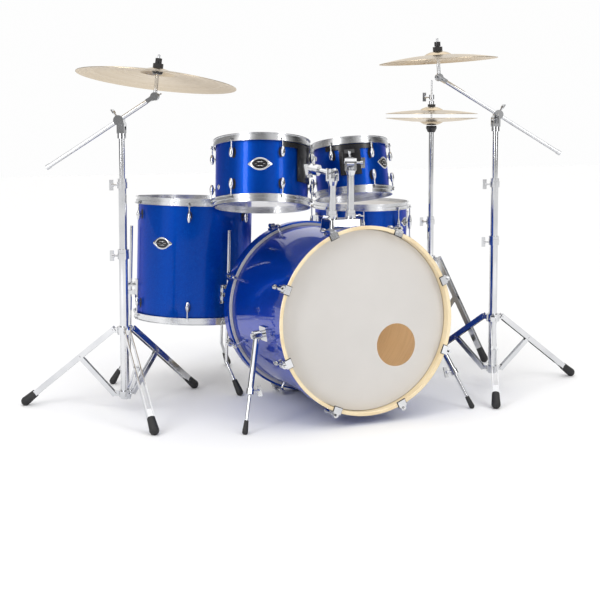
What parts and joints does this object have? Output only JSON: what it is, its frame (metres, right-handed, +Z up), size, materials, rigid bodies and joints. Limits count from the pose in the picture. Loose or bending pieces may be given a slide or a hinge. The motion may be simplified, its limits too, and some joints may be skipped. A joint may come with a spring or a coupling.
{
  "type": "acoustic drum kit",
  "caption": "Acoustic drum kit: bass drum with pedal, rack toms, floor tom, snare, hi-hat and boom cymbals on tripod stands, and a round throne.",
  "frame": {"origin": "on the floor under the middle of the whole kit's bounding box", "axes": "+Z up, +Y from the bass drum's front head towards the player, +X to the right as seen from the front"},
  "size_m": [1.9311, 1.4909, 1.2101],
  "materials": {
    "shell_wrap": "gloss metallic blue wrap over a wood ply shell",
    "wood_hoops": "lacquered maple with a blue outer face",
    "bass_head_film": "coated off-white film",
    "tom_head_film": "clear smooth film",
    "cymbal_bronze": "lathed bronze",
    "seat_cover": "black vinyl over foam",
    "pedal_aluminium": "cast and brushed",
    "beater_steel": "steel shaft with a felt beater",
    "wire_steel": "steel wires",
    "chrome_hardware": "polished chrome, rubber feet black"
  },
  "bodies": {
    "kit": {"bass_shell": "shell_wrap", "bass_hoops": "wood_hoops", "bass_heads": "bass_head_film", "bass_lugs_and_rods": "chrome_hardware", "bass_claws": "chrome_hardware", "bass_drum_brackets": "chrome_hardware", "bass_pedal_frame": "chrome_hardware", "floor_tom_shell": "shell_wrap", "floor_tom_heads": "tom_head_film", "floor_tom_hoops": "chrome_hardware", "floor_tom_lugs_and_brackets": "chrome_hardware", "snare_stand_base": "chrome_hardware", "hihat_stand_base": "chrome_hardware", "ride_stand_base": "chrome_hardware", "crash_stand_base": "chrome_hardware", "throne_base": "chrome_hardware"},
    "spur_left": {"spur_left": "chrome_hardware"},
    "spur_right": {"spur_right": "chrome_hardware"},
    "bass_footboard": {"bass_pedal_footboard": "pedal_aluminium"},
    "bass_beater": {"bass_pedal_beater": "beater_steel"},
    "tom_post_left": {"tom_post_left": "chrome_hardware"},
    "tom_post_right": {"tom_post_right": "chrome_hardware"},
    "tom12": {"tom12_arm": "chrome_hardware", "tom12_shell": "shell_wrap", "tom12_heads": "tom_head_film", "tom12_hoops": "chrome_hardware", "tom12_lugs_and_rods": "chrome_hardware"},
    "tom10": {"tom10_arm": "chrome_hardware", "tom10_shell": "shell_wrap", "tom10_heads": "tom_head_film", "tom10_hoops": "chrome_hardware", "tom10_lugs_and_rods": "chrome_hardware"},
    "floor_leg_left": {"floor_tom_leg_left": "chrome_hardware"},
    "floor_leg_front": {"floor_tom_leg_front": "chrome_hardware"},
    "floor_leg_back": {"floor_tom_leg_back": "chrome_hardware"},
    "snare": {"snare_basket": "chrome_hardware", "snare_shell": "shell_wrap", "snare_heads": "tom_head_film", "snare_hoops": "chrome_hardware", "snare_lugs_and_strainer": "chrome_hardware", "snare_wires": "wire_steel"},
    "snare_lever": {"snare_strainer_lever": "chrome_hardware"},
    "hihat_pedal": {"hihat_pedal": "pedal_aluminium"},
    "hihat_tube": {"hihat_upper_tube": "chrome_hardware", "hihat_bottom_cymbal": "cymbal_bronze"},
    "hihat_rod": {"hihat_rod_and_clutch": "chrome_hardware", "hihat_top_cymbal": "cymbal_bronze"},
    "throne_seat": {"throne_seat": "seat_cover"},
    "ride_middle": {"ride_stand_middle_tube": "chrome_hardware"},
    "ride_upper": {"ride_stand_upper_tube": "chrome_hardware"},
    "ride_clamp": {"ride_boom_clamp": "chrome_hardware"},
    "ride_arm": {"ride_boom_arm": "chrome_hardware"},
    "ride_tilter": {"ride_cymbal_tilter": "chrome_hardware"},
    "ride_cymbal": {"ride_cymbal": "cymbal_bronze"},
    "crash_middle": {"crash_stand_middle_tube": "chrome_hardware"},
    "crash_upper": {"crash_stand_upper_tube": "chrome_hardware"},
    "crash_clamp": {"crash_boom_clamp": "chrome_hardware"},
    "crash_arm": {"crash_boom_arm": "chrome_hardware"},
    "crash_tilter": {"crash_cymbal_tilter": "chrome_hardware"},
    "crash_cymbal": {"crash_cymbal": "cymbal_bronze"}
  },
  "joints": [
    {"name": "spur_left_fold", "type": "hinge", "parent": "kit", "child": "spur_left", "pos_m": [-0.31402, -0.55011, 0.26802], "axis": [0.9903, 0.0076, 0.139], "range_deg": [0, 75]},
    {"name": "spur_right_fold", "type": "hinge", "parent": "kit", "child": "spur_right", "pos_m": [0.29004, -0.55011, 0.26802], "axis": [0.9903, -0.0076, -0.139], "range_deg": [0, 75]},
    {"name": "tom_post_left_swivel", "type": "hinge", "parent": "kit", "child": "tom_post_left", "pos_m": [-0.04399, -0.51754, 0.62], "axis": [0, 0, 1], "range_deg": [-5, 20]},
    {"name": "tom12_tilt", "type": "hinge", "parent": "tom_post_left", "child": "tom12", "pos_m": [-0.04399, -0.51754, 0.764], "axis": [-0.7454, -0.6666, 0], "range_deg": [-10, 4]},
    {"name": "tom_post_right_swivel", "type": "hinge", "parent": "kit", "child": "tom_post_right", "pos_m": [0.02001, -0.51754, 0.62], "axis": [0, 0, 1], "range_deg": [-20, 5]},
    {"name": "tom10_tilt", "type": "hinge", "parent": "tom_post_right", "child": "tom10", "pos_m": [0.02001, -0.51754, 0.796], "axis": [-0.9012, 0.4334, 0], "range_deg": [-10, 4]},
    {"name": "floor_tom_leg_left_slide", "type": "slide", "parent": "kit", "child": "floor_leg_left", "axis": [0.0372, 0.026, 0.999], "range_m": [-0.08, 0.05]},
    {"name": "floor_tom_leg_front_slide", "type": "slide", "parent": "kit", "child": "floor_leg_front", "axis": [0.0372, 0.026, 0.999], "range_m": [-0.08, 0.05]},
    {"name": "floor_tom_leg_back_slide", "type": "slide", "parent": "kit", "child": "floor_leg_back", "axis": [0.0372, 0.026, 0.999], "range_m": [-0.08, 0.05]},
    {"name": "snare_height", "type": "slide", "parent": "kit", "child": "snare", "axis": [0, 0, 1], "range_m": [0, 0.08]},
    {"name": "snare_strainer_throw", "type": "hinge", "parent": "snare", "child": "snare_lever", "pos_m": [0.55201, 0.09846, 0.513], "axis": [0, 1, 0], "range_deg": [0, 52]},
    {"name": "hihat_height", "type": "slide", "parent": "kit", "child": "hihat_tube", "axis": [0, 0, 1], "range_m": [0, 0.1]},
    {"name": "hihat_pedal_press", "type": "hinge", "parent": "kit", "child": "hihat_pedal", "pos_m": [0.47148, 0.30906, 0.02], "axis": [0.7986, 0.6018, 0], "range_deg": [0, 3.1]},
    {"name": "hihat_rod_pull", "type": "slide", "parent": "hihat_tube", "child": "hihat_rod", "axis": [0, 0, -1], "range_m": [0, 0.0142], "stiffness_N_per_m": 1500, "springref_m": -0.04},
    {"name": "bass_pedal_press", "type": "hinge", "parent": "kit", "child": "bass_footboard", "pos_m": [-0.01199, 0.04446, 0.022], "axis": [1, 0, 0], "range_deg": [0, 11]},
    {"name": "bass_beater_swing", "type": "hinge", "parent": "kit", "child": "bass_beater", "pos_m": [-0.01199, -0.15554, 0.205], "axis": [1, 0, 0], "range_deg": [0, 51.4], "stiffness_Nm_per_rad": 0.8, "springref_deg": -45.84},
    {"name": "ride_stand_height", "type": "slide", "parent": "kit", "child": "ride_middle", "axis": [0, 0, 1], "range_m": [0, 0.2]},
    {"name": "ride_stand_swivel", "type": "hinge", "parent": "ride_middle", "child": "ride_upper", "pos_m": [-0.65849, -0.25054, 0.937], "axis": [0, 0, 1], "continuous": true},
    {"name": "ride_boom_tilt", "type": "hinge", "parent": "ride_upper", "child": "ride_clamp", "pos_m": [-0.65849, -0.25054, 0.91797], "axis": [0.4435, 0.8963, 0], "range_deg": [-25, 20]},
    {"name": "ride_boom_slide", "type": "slide", "parent": "ride_clamp", "child": "ride_arm", "axis": [0.7536, -0.3729, 0.5414], "range_m": [-0.03, 0.15]},
    {"name": "ride_cymbal_tilt", "type": "hinge", "parent": "ride_arm", "child": "ride_tilter", "pos_m": [-0.56169, -0.29844, 1.00654], "axis": [0.4435, 0.8963, 0], "range_deg": [-15, 15]},
    {"name": "ride_cymbal_spin", "type": "hinge", "parent": "ride_tilter", "child": "ride_cymbal", "pos_m": [-0.55499, -0.29554, 1.056], "axis": [0.1341, 0.058, 0.9893], "continuous": true},
    {"name": "crash_stand_height", "type": "slide", "parent": "kit", "child": "crash_middle", "axis": [0, 0, 1], "range_m": [0, 0.2]},
    {"name": "crash_stand_swivel", "type": "hinge", "parent": "crash_middle", "child": "crash_upper", "pos_m": [0.61661, -0.42754, 0.955], "axis": [0, 0, 1], "continuous": true},
    {"name": "crash_boom_tilt", "type": "hinge", "parent": "crash_upper", "child": "crash_clamp", "pos_m": [0.61661, -0.42754, 0.93628], "axis": [-0.3022, -0.9532, 0], "range_deg": [-25, 20]},
    {"name": "crash_boom_slide", "type": "slide", "parent": "crash_clamp", "child": "crash_arm", "axis": [-0.8146, 0.2583, 0.5193], "range_m": [-0.03, 0.15]},
    {"name": "crash_cymbal_tilt", "type": "hinge", "parent": "crash_arm", "child": "crash_tilter", "pos_m": [0.42508, -0.36682, 1.0771], "axis": [-0.3022, -0.9532, 0], "range_deg": [-15, 15]},
    {"name": "crash_cymbal_spin", "type": "hinge", "parent": "crash_tilter", "child": "crash_cymbal", "pos_m": [0.42201, -0.36554, 1.133], "axis": [-0.0548, 0.0228, 0.9982], "continuous": true},
    {"name": "throne_height", "type": "slide", "parent": "kit", "child": "throne_seat", "axis": [0, 0, 1], "range_m": [0, 0.1]}
  ],
  "couplings": [
    {"joint": "hihat_rod_pull", "follows": "hihat_pedal_press", "m_per_rad": 0.26},
    {"joint": "bass_beater_swing", "follows": "bass_pedal_press", "ratio": 4.66}
  ]
}
